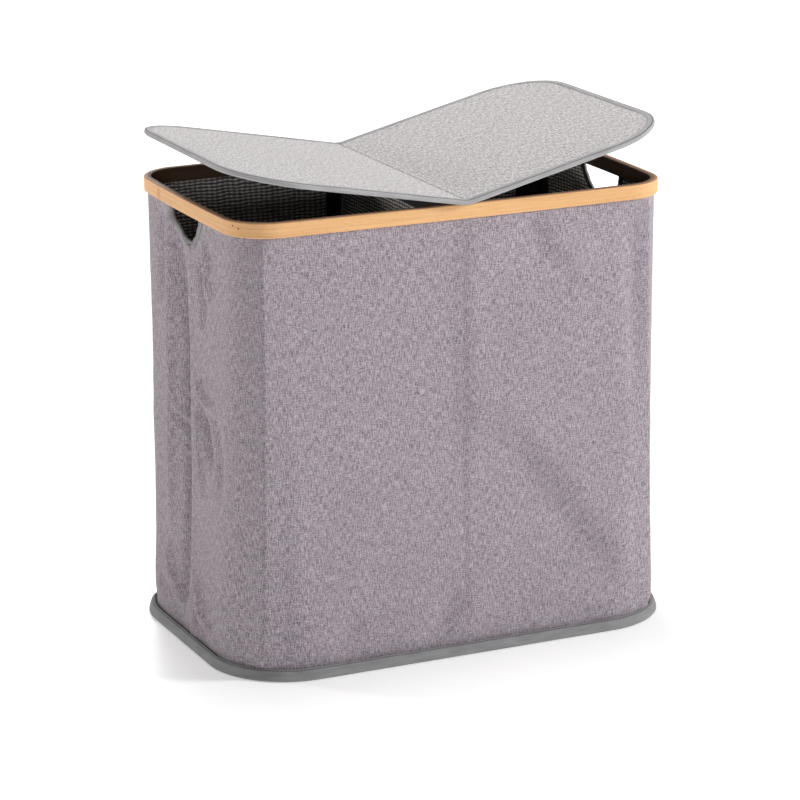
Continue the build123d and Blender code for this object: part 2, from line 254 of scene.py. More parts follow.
def gridLining(name):
    # Dark coated cloth with a light, broken and slightly wandering grid woven into it
    material, tree, shader = nodeTree(name)
    vector = uvVector(tree)
    parts = tree.nodes.new("ShaderNodeSeparateXYZ")
    tree.links.new(vector, parts.inputs[0])
    wander = times(tree, addNoise(tree, vector, (0.020, 0.016, 1), 3, 0.6), 9.0)
    drift = times(tree, addNoise(tree, vector, (0.016, 0.024, 1), 3, 0.6, (6, 3, 0)), 7.0)
    turnsAcross = plus(tree, times(tree, parts.outputs[0], 2 * pi / 0.0064), drift)
    turnsUp = plus(tree, times(tree, parts.outputs[1], 2 * pi / 0.0041), wander)
    across = plus(tree, times(tree, addMath(tree, "SINE", turnsAcross), 0.5), 0.5)
    ribs = plus(tree, times(tree, addMath(tree, "SINE", turnsUp), 0.5), 0.5)
    cells = times(tree, ribs, plus(tree, times(tree, across, 0.55), 0.45))
    broken = addNoise(tree, vector, (0.0028, 0.0018, 1), 4, 0.7, (1.7, 8.1, 0))
    cloud = addNoise(tree, vector, (0.03, 0.03, 1), 2, 0.5, (4, 4, 0))
    mark = times(tree, cells, times(tree, broken, 2.0))
    mark = times(tree, mark, plus(tree, cloud, 0.5))
    stops = ((0.05, (0.100, 0.091, 0.085)), (0.30, (0.27, 0.25, 0.235)), (0.80, (0.75, 0.72, 0.69)))
    tree.links.new(addRamp(tree, mark, stops), shader.inputs["Base Color"])
    rough = minus(tree, 0.75, times(tree, mark, 0.25))
    tree.links.new(rough, shader.inputs["Roughness"])
    shader.inputs["Specular IOR Level"].default_value = 0.3
    addBump(tree, shader, mark, 0.5, 0.0006)
    return material


def tapeCloth(name, colours, pitch=0.0011, stitches=None):
    # Smooth ribbed binding tape: v runs across it, u along it, and stitches lie near one edge
    material, tree, shader = nodeTree(name)
    vector = uvVector(tree)
    rib = threads(tree, vector, pitch, 0)
    grain = addNoise(tree, vector, (0.0012, 0.0008, 1), 3, 0.6)
    cloud = addNoise(tree, vector, (0.03, 0.006, 1), 2, 0.5, (2.2, 1.1, 0))
    level = plus(tree, times(tree, rib, 0.05), times(tree, grain, 0.6))
    level = plus(tree, level, times(tree, cloud, 0.4))
    tones = (colours["dark"], colours["middle"], colours["light"])
    colour = addRamp(tree, level, tuple(zip((0.3, 0.5, 0.72), tones)))
    height = plus(tree, times(tree, rib, 0.5), times(tree, grain, 0.6))
    if stitches:
        parts = tree.nodes.new("ShaderNodeSeparateXYZ")
        tree.links.new(vector, parts.inputs[0])
        offLine = addMath(tree, "ABSOLUTE", minus(tree, parts.outputs[1], stitches["at"]))
        near = addMath(tree, "LESS_THAN", offLine, stitches["width"] / 2)
        dash = addMath(tree, "SINE", times(tree, parts.outputs[0], 2 * pi / stitches["length"]))
        dash = addMath(tree, "GREATER_THAN", dash, -0.45)
        stitch = times(tree, near, dash)
        groove = addMath(tree, "LESS_THAN", offLine, stitches["width"])
        # Painted shade: the groove along the stitches is darkened with the shade colour, besides being sunk
        # in the bump below.
        colour = addMix(tree, times(tree, groove, 0.45), colour, stitches["shade"])
        colour = addMix(tree, stitch, colour, stitches["thread"])
        height = minus(tree, height, times(tree, groove, 2.0))
        height = plus(tree, height, times(tree, stitch, 2.6))
    tree.links.new(colour, shader.inputs["Base Color"])
    rough = plus(tree, times(tree, grain, 0.25), 0.62)
    tree.links.new(rough, shader.inputs["Roughness"])
    shader.inputs["Specular IOR Level"].default_value = 0.3
    shader.inputs["Sheen Weight"].default_value = 0.08
    addBump(tree, shader, height, 0.4, 0.0003)
    return material


def plainWeave(name, colour, lighter, pitch=0.0012, rough=0.85, strength=0.5):
    # Close plain weave on Object coordinates, for webbing, hems and backing cloth
    material, tree, shader = nodeTree(name)
    vector = objectVector(tree)
    across = threads(tree, vector, pitch, 0)
    along = threads(tree, vector, pitch, 1)
    upward = threads(tree, vector, pitch, 2)
    weave = times(tree, plus(tree, across, along), upward)
    grain = addNoise(tree, vector, (0.0015, 0.0015, 0.0015), 3, 0.6)
    cloud = addNoise(tree, vector, (0.03, 0.03, 0.03), 2, 0.5)
    level = plus(tree, times(tree, grain, 0.7), times(tree, cloud, 0.3))
    colour = addRamp(tree, level, ((0.35, colour), (0.7, lighter)))
    tree.links.new(colour, shader.inputs["Base Color"])
    roughness = plus(tree, times(tree, grain, 0.2), rough - 0.1)
    tree.links.new(roughness, shader.inputs["Roughness"])
    height = plus(tree, times(tree, weave, 0.3), grain)
    addBump(tree, shader, height, strength, 0.0003)
    return material


def bamboo(name, colours, inner=False):
    # Straight fibre drawn out level along the hoop and fine up its height
    material, tree, shader = nodeTree(name)
    vector = objectVector(tree)
    fibre = addNoise(tree, vector, (0.16, 0.16, 0.0011), 4, 0.6)
    fine = addNoise(tree, vector, (0.05, 0.05, 0.0005), 3, 0.6, (2, 5, 3))
    patch = addNoise(tree, vector, (0.12, 0.12, 0.02), 3, 0.5, (7, 1, 4))
    pores = addNoise(tree, vector, (0.006, 0.006, 0.0006), 2, 0.5, (1, 9, 2))
    level = plus(tree, times(tree, fibre, 0.55), times(tree, fine, 0.25))
    level = plus(tree, level, times(tree, patch, 0.2))
    tones = (colours["dark"], colours["middle"], colours["light"])
    colour = addRamp(tree, level, tuple(zip((0.34, 0.5, 0.66), tones)))
    specks = addRamp(tree, pores, ((0.30, (0.55, 0.42, 0.30)), (0.37, (1, 1, 1))))
    colour = addMix(tree, 0.6, colour, specks, "MULTIPLY")
    # The hoop's sawn top edge is browner than its faces. On the inner hoop, whose faces carry painted shade,
    # the top edge comes out much lighter than them.
    normal = tree.nodes.new("ShaderNodeNewGeometry")
    facing = tree.nodes.new("ShaderNodeSeparateXYZ")
    tree.links.new(normal.outputs["Normal"], facing.inputs[0])
    onTop = addRamp(tree, facing.outputs[2], ((0.35, (0, 0, 0)), (0.9, (1, 1, 1))))
    colour = addMix(tree, times(tree, onTop, 0.75), colour, colours["edge"])
    if not inner:
        # A reddish node mark across the strip on the left end
        spot = tree.nodes.new("ShaderNodeMapping")
        place, size = colours["nodeAt"], colours["nodeSize"]
        spot.inputs["Location"].default_value = tuple(-c / s for c, s in zip(place, size))
        spot.inputs["Scale"].default_value = tuple(1 / s for s in size)
        tree.links.new(vector, spot.inputs["Vector"])
        ball = tree.nodes.new("ShaderNodeTexGradient")
        ball.gradient_type = "SPHERICAL"
        tree.links.new(spot.outputs[0], ball.inputs["Vector"])
        amount = times(tree, addMath(tree, "POWER", ball.outputs["Fac"], 0.7), plus(tree, fine, 0.2))
        colour = addMix(tree, addMath(tree, "MINIMUM", amount, 0.75), colour, colours["node"])
    tree.links.new(colour, shader.inputs["Base Color"])
    rough = plus(tree, times(tree, fibre, 0.25), 0.42 if not inner else 0.5)
    tree.links.new(rough, shader.inputs["Roughness"])
    shader.inputs["Specular IOR Level"].default_value = 0.25
    shader.inputs["Coat Weight"].default_value = 0.0 if inner else 0.04
    shader.inputs["Coat Roughness"].default_value = 0.35
    height = plus(tree, times(tree, fibre, 0.6), times(tree, pores, 0.5))
    addBump(tree, shader, height, 0.25, 0.0003)
    return material


def smoothStock(name, colour, lighter, rough, metal=0.0, size=0.004, bump=0.15):
    # Plastic, rubber, board and metal: a quiet mottle with slight wear
    material, tree, shader = nodeTree(name)
    vector = objectVector(tree)
    mottle = addNoise(tree, vector, (size, size, size), 4, 0.6)
    scuff = addNoise(tree, vector, (size * 0.3, size * 4, size * 0.5), 3, 0.6, (4, 2, 8))
    level = plus(tree, times(tree, mottle, 0.6), times(tree, scuff, 0.4))
    colour = addRamp(tree, level, ((0.3, colour), (0.7, lighter)))
    tree.links.new(colour, shader.inputs["Base Color"])
    roughness = plus(tree, times(tree, scuff, 0.3), rough - 0.15)
    tree.links.new(roughness, shader.inputs["Roughness"])
    shader.inputs["Metallic"].default_value = metal
    addBump(tree, shader, level, bump, 0.0003)
    return material


def pileTape(name, colour, lighter, size=0.0009):
    # Hook or loop tape: a dense nap of tiny tufts
    material, tree, shader = nodeTree(name)
    vector = objectVector(tree)
    cells = tree.nodes.new("ShaderNodeTexVoronoi")
    cells.inputs["Scale"].default_value = 1 / size
    tree.links.new(vector, cells.inputs["Vector"])
    nap = addNoise(tree, vector, (size, size, size), 3, 0.7)
    level = plus(tree, times(tree, cells.outputs["Distance"], 0.6), times(tree, nap, 0.6))
    colour = addRamp(tree, level, ((0.25, lighter), (0.8, colour)))
    tree.links.new(colour, shader.inputs["Base Color"])
    rough = plus(tree, times(tree, nap, 0.2), 0.8)
    tree.links.new(rough, shader.inputs["Roughness"])
    shader.inputs["Sheen Weight"].default_value = 0.2
    addBump(tree, shader, times(tree, level, -1), 0.8, 0.0006)
    return material


bodyColours = {
    "dark": (0.115, 0.100, 0.110),
    "middle": (0.275, 0.243, 0.270),
    "light": (0.500, 0.450, 0.490),
    "tint": (0.40, 0.31, 0.38),
}
lidColours = {
    "dark": (0.23, 0.22, 0.22),
    "middle": (0.45, 0.425, 0.425),
    "light": (0.73, 0.71, 0.71),
    "tint": (0.54, 0.49, 0.50),
}
footColours = {"dark": (0.17, 0.17, 0.175), "middle": (0.235, 0.235, 0.24), "light": (0.31, 0.31, 0.315)}
holeColours = {"dark": (0.17, 0.165, 0.17), "middle": (0.25, 0.245, 0.25), "light": (0.34, 0.335, 0.34)}
lidTapeColours = {"dark": (0.27, 0.265, 0.27), "middle": (0.355, 0.35, 0.355), "light": (0.45, 0.445, 0.45)}
webColours = {"dark": (0.008, 0.008, 0.009), "middle": (0.016, 0.016, 0.017), "light": (0.032, 0.032, 0.034)}
# thread is the dark thread's own colour; shade is painted shade for the groove along the stitches.
darkThread = {"thread": (0.05, 0.05, 0.052), "shade": (0.10, 0.10, 0.10)}
rimColours = {
    "dark": (0.56, 0.30, 0.125),
    "middle": (0.72, 0.41, 0.185),
    "light": (0.80, 0.49, 0.245),
    "edge": (0.47, 0.27, 0.16),
    "node": (0.52, 0.22, 0.10),
    "nodeAt": (-rimX, 0.072, rimBottom + 0.008),
    "nodeSize": (0.02, 0.007, 0.012),
}
# The inner hoop is the same bamboo with its faces painted far darker: painted shade inside the rim. Its sawn
# top edge keeps a brown near the outer hoop's edge.
innerRimPaintedShade = {
    "dark": (0.055, 0.030, 0.017),
    "middle": (0.085, 0.048, 0.028),
    "light": (0.13, 0.075, 0.045),
    "edge": (0.36, 0.21, 0.13),
}

clothOutside = melangeCloth("body_melange", bodyColours, 0.0010, 0.0055, 1.8)
clothLid = melangeCloth("lid_melange", lidColours, 0.0014, 0.0050, 2.2)
clothInside = gridLining("lining_grid")
footStitch = {"at": 0.0040, "width": 0.0007, "length": 0.0042, **darkThread}
holeStitch = {"at": 0.0072, "width": 0.0007, "length": 0.0040, **darkThread}
lidStitch = {"at": 0.0076, "width": 0.0008, "length": 0.0036, **darkThread}
tapeFoot = tapeCloth("foot_tape", footColours, 0.0012, footStitch)
tapeHole = tapeCloth("hole_tape", holeColours, 0.0011, holeStitch)
tapeLid = tapeCloth("lid_tape", lidTapeColours, 0.0012, lidStitch)
blackWeb = plainWeave("black_webbing", (0.010, 0.010, 0.011), (0.030, 0.030, 0.032), 0.0016)
blackCloth = plainWeave("divider_cloth", (0.012, 0.012, 0.013), (0.034, 0.033, 0.034), 0.0011, 0.8, 0.4)
backingCloth = plainWeave("lid_backing", (0.18, 0.18, 0.185), (0.27, 0.27, 0.275), 0.0013)
baseCloth = plainWeave("base_cloth", (0.10, 0.095, 0.10), (0.19, 0.18, 0.19), 0.0013)
webbing = tapeCloth("black_tape", webColours, 0.0022)
clothDivider = gridLining("divider_cloth_grid")
rimOutside = bamboo("bamboo_outside", rimColours)
rimInsidePaintedShade = bamboo("bamboo_inside_painted_shade", innerRimPaintedShade, True)
rodWhite = smoothStock("rod_white", (0.70, 0.70, 0.67), (0.80, 0.80, 0.78), 0.45)
capRubber = smoothStock("cap_rubber", (0.015, 0.015, 0.016), (0.035, 0.035, 0.036), 0.8)
bradSteel = smoothStock("brad_steel", (0.05, 0.04, 0.035), (0.10, 0.085, 0.07), 0.5, 0.8, 0.001)
hardboard = smoothStock("hardboard", (0.26, 0.17, 0.10), (0.36, 0.25, 0.16), 0.8, 0.0, 0.002, 0.3)
loopPile = pileTape("loop_pile", (0.008, 0.008, 0.009), (0.035, 0.035, 0.037))
hookPile = pileTape("hook_pile", (0.012, 0.012, 0.013), (0.05, 0.05, 0.052), 0.0013)
print("finishes made")


def smoothStep(values):
    t = np.clip(values, 0, 1)
    return t * t * (3 - 2 * t)


def lengths(points):
    steps = np.linalg.norm(np.diff(points, axis=0), axis=1)
    return np.concatenate([[0], np.cumsum(steps)])


def addPiece(name, points, faces, uvs, materials, faceMaterial=None):
    mesh = bpy.data.meshes.new(name)
    mesh.from_pydata([tuple(p) for p in points], [], faces)
    layer = mesh.uv_layers.new(name="cut")
    corners = np.zeros(len(mesh.loops), np.int32)
    mesh.loops.foreach_get("vertex_index", corners)
    layer.data.foreach_set("uv", np.asarray(uvs, np.float32)[corners].ravel())
    mesh.polygons.foreach_set("use_smooth", [True] * len(mesh.polygons))
    for material in materials:
        mesh.materials.append(material)
    if faceMaterial is not None:
        mesh.polygons.foreach_set("material_index", faceMaterial)
    piece = bpy.data.objects.new(name, mesh)
    bpy.context.scene.collection.objects.link(piece)
    return piece


def faceOutwards(piece):
    work = bmesh.new()
    work.from_mesh(piece.data)
    bmesh.ops.recalc_face_normals(work, faces=work.faces)
    work.to_mesh(piece.data)
    work.free()


def gridFaces(rows, columns, flip=False):
    faces = []
    for r in range(rows - 1):
        for c in range(columns - 1):
            quad = (r * columns + c, (r + 1) * columns + c, (r + 1) * columns + c + 1, r * columns + c + 1)
            faces.append(quad[::-1] if flip else quad)
    return faces


def addCloth(name, grid, uv, material, thickness, flip):
    # A sheet from a grid of points, with its thickness on the side its faces turn away from
    rows, columns = grid.shape[:2]
    piece = addPiece(name, grid.reshape(-1, 3), gridFaces(rows, columns, flip), uv.reshape(-1, 2), [material])
    bpy.ops.object.select_all(action="DESELECT")
    piece.select_set(True)
    bpy.context.view_layer.objects.active = piece
    wall = piece.modifiers.new("thickness", "SOLIDIFY")
    wall.thickness = thickness
    wall.offset = -1
    bpy.ops.object.modifier_apply(modifier=wall.name)
    piece.select_set(False)
    return piece


def addTape(name, rings, materials, closed=False, darkFrom=None, along=None):
    # A folded tape: one closed profile ring for each step along it, capped at its ends if it is open
    count, around = rings.shape[:2]
    faces, faceMaterial = [], []
    for r in range(count if closed else count - 1):
        n = (r + 1) % count
        for c in range(around):
            d = (c + 1) % around
            faces.append((r * around + c, n * around + c, n * around + d, r * around + d))
            faceMaterial.append(1 if darkFrom and darkFrom[0] <= c < darkFrom[1] else 0)
    if not closed:
        faces.append(tuple(range(around)))
        faces.append(tuple(reversed(range((count - 1) * around, count * around))))
        faceMaterial += [0, 0]
    across = np.concatenate([[0], np.cumsum(np.linalg.norm(np.diff(rings, axis=1), axis=2).mean(axis=0))])
    run = lengths(rings[:, 0]) if along is None else along
    uv = np.stack(np.broadcast_arrays(run[:, None], across[None, :]), axis=2)
    piece = addPiece(name, rings.reshape(-1, 3), faces, uv.reshape(-1, 2), materials, faceMaterial)
    faceOutwards(piece)
    return piece


def outline(halfX, halfY, radius, bowX=0.0, bowY=0.0, start=0.0):
    # Front half of a rounded outline, from the left end round the front to the right end, and how far
    # each point has turned round its corner: 0 on an end, 1 on the front
    side = np.linspace(start, halfY - radius, body["endColumns"], endpoint=False)
    turn = np.linspace(0, pi / 2, body["cornerColumns"], endpoint=False)
    front = np.linspace(-(halfX - radius), halfX - radius, body["frontColumns"])
    left = [(-halfX, -y) for y in side]
    left += [(-(halfX - radius) - radius * cos(a), -(halfY - radius) - radius * sin(a)) for a in turn]
    right = [(-x, y) for x, y in reversed(left)]
    points = np.array(left + [(x, -halfY) for x in front] + right)
    turned = np.concatenate([np.zeros(len(side)), turn / (pi / 2), np.ones(len(front))])
    turned = np.concatenate([turned, turned[:len(left)][::-1]])
    share = points / (halfX, halfY)
    points[:, 0] -= share[:, 0] * bowX * share[:, 1] ** 2
    points[:, 1] -= share[:, 1] * bowY * share[:, 0] ** 2
    return points, turned


handHoles = {
    "left": {"half": 0.040, "depth": 0.030, "tip": -0.012, "outerHalf": 0.0520, "outerDepth": 0.041},
    "right": {"half": 0.043, "depth": 0.035, "tip": -0.006, "outerHalf": 0.053, "outerDepth": 0.045},
}
archShapes = {"inner": (1.7, 0.60), "outer": (1.35, 0.66)}  # power and roundness


def arch(y, half, depth, tip, power, roundness):
    # Depth of a pointed arch hanging under the rim, at y
    reach = np.where(y > tip, half - tip, half + tip)
    lean = np.clip(np.abs(y - tip) / reach, 0, 1)
    return depth * (1 - lean**power) ** roundness


def innerArch(y, side):
    hole = handHoles[side]
    return arch(y, hole["half"], hole["depth"], hole["tip"], *archShapes["inner"])


def outerArch(y, side):
    hole = handHoles[side]
    return arch(y, hole["outerHalf"], hole["outerDepth"], hole["tip"], *archShapes["outer"])


def offPath(u, z, path):
    # Distance from each point to a line of points, on which side it lies, and the share along the line
    best = np.full(u.shape, 9.0)
    sign = np.ones(u.shape)
    along = np.zeros(u.shape)
    total = sum(hypot(b[0] - a[0], b[1] - a[1]) for a, b in zip(path, path[1:]))
    done = 0.0
    for a, b in zip(path, path[1:]):
        du, dz = b[0] - a[0], b[1] - a[1]
        size = hypot(du, dz)
        t = np.clip(((u - a[0]) * du + (z - a[1]) * dz) / size**2, 0, 1)
        gapU, gapZ = u - a[0] - t * du, z - a[1] - t * dz
        gap = np.hypot(gapU, gapZ)
        nearer = gap < best
        best = np.where(nearer, gap, best)
        sign = np.where(nearer, np.where(du * gapZ - dz * gapU >= 0, 1, -1), sign)
        along = np.where(nearer, (done + t * size) / total, along)
        done += size
    return best, sign, along


def foldHeight(u, z, paths):
    # Ridges and valleys follow their paths. A step stands proud on the left of its path as it is walked,
    # over the given width, and eases back over its reach.
    height = np.zeros(u.shape)
    for fold in paths:
        gap, sign, along = offPath(u, z, fold["path"])
        fade = np.sin(np.clip(along, 0.001, 0.999) * pi) ** fold["fade"]
        if "reach" in fold:
            half = fold["width"] / 2
            rise = sign * np.sin(np.clip(gap / half, 0, 1) * pi / 2)
            rise = rise * np.exp(-np.clip(gap - half, 0, None) / fold["reach"])
            height += fold["height"] / 2 * rise * fade
        else:
            height += fold["height"] * np.exp(-((gap / fold["width"]) ** 2)) * fade
    return height


def ripple(u, z, size, seed):
    # Smooth, repeatable unevenness from a few crossed waves
    random = np.random.default_rng(seed)
    total = np.zeros(np.broadcast(u, z).shape)
    for _ in range(9):
        angle = random.uniform(0, pi)
        length = size * random.uniform(0.7, 1.6)
        phase = random.uniform(0, 2 * pi)
        total += np.sin((u * cos(angle) + z * sin(angle)) * 2 * pi / length + phase)
    return total / 9


def valley(path, width, height, fade=0.5):
    return {"path": path, "width": width, "height": -height, "fade": fade}


def ridge(path, width, height, fade=0.5):
    return {"path": path, "width": width, "height": height, "fade": fade}


def step(path, width, height, reach, fade=0.5):
    return {"path": path, "width": width, "height": height, "reach": reach, "fade": fade}


# Folds pressed or pulled into each wall. Across the long walls the first figure is x, across the ends
# it is y, and the second is the height off the floor.
folds = {
    "front": [
        step([(0.215, 0.045), (0.124, 0.172), (0.073, 0.240), (0.006, 0.283)], 0.044, -0.0088, 0.060, 0.35),
        step([(0.150, 0.425), (0.112, 0.456), (0.086, 0.500)], 0.032, -0.0078, 0.040, 0.4),
        step([(0.001, 0.520), (0.001, 0.360), (0.001, 0.210)], 0.036, 0.0052, 0.090, 0.35),
        step([(0.002, 0.300), (0.002, 0.010)], 0.009, 0.0008, 0.050, 0.3),
        valley([(0.002, 0.506), (0.002, 0.002)], 0.0034, 0.0006, 0.1),
        valley([(-0.006, 0.074), (-0.035, 0.034), (-0.060, 0.018)], 0.014, 0.0052),
        valley([(-0.130, 0.060), (-0.165, 0.026)], 0.016, 0.0046),
        valley([(0.060, 0.045), (0.150, 0.022)], 0.016, 0.0034),
        valley([(0.214, 0.490), (0.222, 0.270)], 0.014, 0.0044),
        ridge([(-0.170, 0.330), (-0.120, 0.200), (-0.100, 0.100)], 0.040, 0.0016, 0.7),
        valley([(0.030, 0.440), (0.050, 0.330)], 0.026, 0.0014, 0.7),
    ],
    "left": [
        ridge([(0.048, 0.498), (0.045, 0.300), (0.054, 0.120)], 0.011, 0.0048, 0.3),
        valley([(0.076, 0.498), (0.078, 0.385)], 0.012, 0.0034),
        valley([(0.024, 0.470), (0.008, 0.360), (0.006, 0.230), (0.010, 0.030)], 0.012, 0.0062, 0.25),
        ridge([(-0.020, 0.320), (-0.050, 0.300), (-0.085, 0.290)], 0.0060, 0.0034),
        valley([(-0.024, 0.292), (-0.050, 0.268), (-0.066, 0.225)], 0.0085, 0.0046),
        ridge([(-0.020, 0.280), (-0.034, 0.235), (-0.042, 0.180)], 0.0065, 0.0028),
        valley([(-0.072, 0.300), (-0.090, 0.240), (-0.092, 0.190)], 0.010, 0.0030),
        ridge([(-0.018, 0.090), (-0.050, 0.045), (-0.092, 0.014)], 0.009, 0.0044),
        ridge([(0.066, 0.100), (0.040, 0.060), (0.022, 0.040)], 0.009, 0.0042),
        valley([(0.090, 0.050), (0.050, 0.026), (0.010, 0.020)], 0.012, 0.0046),
        valley([(-0.020, 0.034), (-0.060, 0.018)], 0.010, 0.0040),
        ridge([(-0.052, 0.480), (-0.064, 0.450), (-0.066, 0.410)], 0.0080, 0.0034),
        valley([(-0.040, 0.462), (-0.048, 0.420), (-0.046, 0.380)], 0.0090, 0.0036),
        valley([(0.034, 0.262), (0.012, 0.250)], 0.0070, 0.0030),
        ridge([(0.036, 0.272), (0.014, 0.262)], 0.0050, 0.0022),
    ],
    "right": [
        ridge([(0.050, 0.470), (0.052, 0.250), (0.046, 0.060)], 0.013, 0.0042, 0.4),
        valley([(0.016, 0.462), (0.010, 0.260), (0.014, 0.030)], 0.013, 0.0056, 0.3),
        ridge([(-0.022, 0.300), (-0.055, 0.262), (-0.080, 0.250)], 0.008, 0.0032),
        valley([(-0.024, 0.262), (-0.052, 0.215), (-0.066, 0.170)], 0.010, 0.0040),
        ridge([(0.012, 0.080), (0.050, 0.030), (0.085, 0.014)], 0.010, 0.0040),
        valley([(-0.030, 0.120), (-0.070, 0.050)], 0.012, 0.0034),
    ],
    "back": [
        step([(0.030, 0.160), (-0.080, 0.240), (-0.190, 0.410)], 0.034, 0.0058, 0.060, 0.4),
        step([(0.205, 0.330), (0.120, 0.420), (0.070, 0.500)], 0.028, -0.0044, 0.040, 0.45),
        ridge([(0.001, 0.503), (0.001, 0.330), (0.001, 0.120)], 0.017, 0.0030, 0.35),
        valley([(0.002, 0.506), (0.002, 0.002)], 0.0034, 0.0007, 0.1),
        valley([(0.110, 0.180), (0.205, 0.040)], 0.018, 0.0030),
        ridge([(-0.150, 0.120), (-0.215, 0.030)], 0.015, 0.0030),
        valley([(-0.060, 0.050), (0.040, 0.028)], 0.016, 0.0022),
    ],
}


drape = {
    "endFolds": 1.9,  # the ends' folds are this much deeper than they are listed
    "foldFoot": 0.045,  # the folds die out over this height above the foot seam
    "frontWaist": 0.0030,  # how far the long walls draw in half way up
    "endWaist": 0.0022,
    "slack": ((0.0011, 0.6, 0.12, 3), (0.0005, 1.0, 0.045, 8)),  # height, squeeze, length and seed
    "ridgeFoot": 0.030,  # the rod's ridge dies out over this height above the foot seam
    "flare": {"over": 0.014, "out": 0.0010, "pucker": 0.0018},
    "swell": {"at": 0.052, "over": 0.028, "out": 0.0026, "uneven": 0.0030},
    "tuckIn": {"at": 0.014, "over": 0.012, "front": 0.0020, "end": 0.0018},
    "grip": 0.016,  # the drape dies out over this height under the hoops
}


def wallDrape(points, turned, half):
    # How far the cloth stands proud of the plain wall, or sinks in, at each point
    x, y, z = points[..., 0], points[..., 1], points[..., 2]
    up = np.clip((z - wallFoot) / (rimBottom - wallFoot), 0, 1)
    onLong = smoothStep((turned - 0.45) / 0.5)
    onEnd = smoothStep((0.6 - turned) / 0.5)
    onFoot = smoothStep((z - wallFoot) / drape["foldFoot"])
    push = onLong * onFoot * foldHeight(x, z, folds[half])
    ends = np.where(x < 0, foldHeight(y, z, folds["left"]), foldHeight(y, z, folds["right"]))
    push += onEnd * onFoot * drape["endFolds"] * ends
    # Between the rods the cloth is slack and draws in a little half way up
    waist = np.sin(up * pi)
    middle = np.cos(np.clip(np.abs(x) / (footX - 0.03), 0, 1) * pi / 2)
    push -= drape["frontWaist"] * waist * onLong * middle
    push -= drape["endWaist"] * waist * onEnd
    around = np.where(onEnd > 0.5, y * 1.4 + 3, x)
    push += waist * sum(height * ripple(around, z * squeeze, length, seed)
                        for height, squeeze, length, seed in drape["slack"])
    # A rod stands behind each corner: the cloth runs straight to it from both sides
    foot, head = body["ridgeAngle"]
    radius = body["footCorner"] + (body["rimCorner"] - body["footCorner"]) * up
    bearing, rod = radians(90) * turned, np.radians(foot + (head - foot) * up)
    reach = radians(body["ridgeReach"])
    tip = radius / cos(reach)  # how far the ridge stands from the corner's centre
    endSide = radius / np.cos(np.clip(bearing - rod + reach, -0.3, 1.3))
    span = radians(90) - rod
    toFront = tip * np.sin(bearing - rod) + radius * np.sin(radians(90) - bearing)
    frontSide = tip * radius * np.sin(span) / toFront
    sharp = body["ridgeSharp"]
    tent = -np.log(np.exp(-sharp * (endSide - radius)) + np.exp(-sharp * (frontSide - radius))) / sharp
    corner = (turned > 0) & (turned < 1) & (bearing > rod - reach)
    push += np.where(corner, np.maximum(tent, 0), 0) * smoothStep((z - wallFoot) / drape["ridgeFoot"])
    # The cloth puckers at its foot seam, tucks in behind the tape there and swells out above it
    flare, swell, tuckIn = drape["flare"], drape["swell"], drape["tuckIn"]
    pucker = ripple(x * 1.1 + y * 0.8, z * 0.2, 0.034, 21)
    push += np.exp(-(z - wallFoot) / flare["over"]) * (flare["out"] + flare["pucker"] * pucker)
    out = swell["out"] + swell["uneven"] * ripple(around, z * 0.5, 0.075, 33)
    push += np.exp(-(((z - swell["at"]) / swell["over"]) ** 2)) * out * (onLong + 0.6 * onEnd)
    tuck = tuckIn["front"] * onLong + tuckIn["end"] * onEnd
    push -= tuck * np.exp(-(((z - tuckIn["at"]) / tuckIn["over"]) ** 2))
    # It is gripped between the hoops
    return push * np.clip((rimBottom + 0.001 - z) / drape["grip"], 0, 1) ** 0.6


def wallGrid(half, inset, top, count, start):
    # One panel of the wall, row by row from the floor up
    shrink = body["rimInset"] + inset
    upper, turned = outline(rimX - shrink, rimY - shrink, body["rimCorner"] - inset,
                            body["endBow"], body["frontBow"], start)
    lower, turned = outline(footX - inset, footY - inset, body["footCorner"] - inset, start=start)
    if half == "back":
        upper[:, 1] *= -1
        lower[:, 1] *= -1
    flat = lengths((upper + lower) / 2)
    head = np.full(len(upper), rimBottom + top)
    onEnd = turned == 0
    for side, sign in (("left", -1), ("right", 1)):
        y = upper[:, 1]
        margin = 0.004  # the cloth's own edge is hidden inside the hole's tape
        hole = handHoles[side]
        here = onEnd & (upper[:, 0] * sign > 0) & (np.abs(y) < hole["half"] + margin)
        drop = arch(y, hole["half"] + margin, hole["depth"] + margin, hole["tip"], *archShapes["inner"])
        head = np.where(here, rimBottom - drop, head)
    share = np.linspace(0, 1, count)[:, None]
    z = wallFoot + share * (head - wallFoot)
    blend = np.clip((z - wallFoot) / (rimBottom - wallFoot), 0, 1)[..., None]
    points = np.zeros((*z.shape, 3))
    points[..., :2] = lower + blend * (upper - lower)
    points[..., 2] = z
    run = np.gradient(points, axis=1)
    outward = np.stack([run[..., 1], -run[..., 0], np.zeros(z.shape)], axis=2)
    if half == "back":
        outward = -outward
    outward /= np.linalg.norm(outward, axis=2, keepdims=True)
    uv = np.stack([flat + (0 if half == "front" else 2.3) + np.zeros(z.shape), z], axis=2)
    return points, outward, np.broadcast_to(turned, z.shape), uv


lap = {
    "edge": 0.006,  # the panel on top stands proud this far each side of the seam
    "proud": 0.0014,
    "reach": 0.004,  # and eases back over this length
    "under": 0.010,  # flat again over this height under the hoops
    "curl": 0.0009,
    "curlReach": 0.003,
}


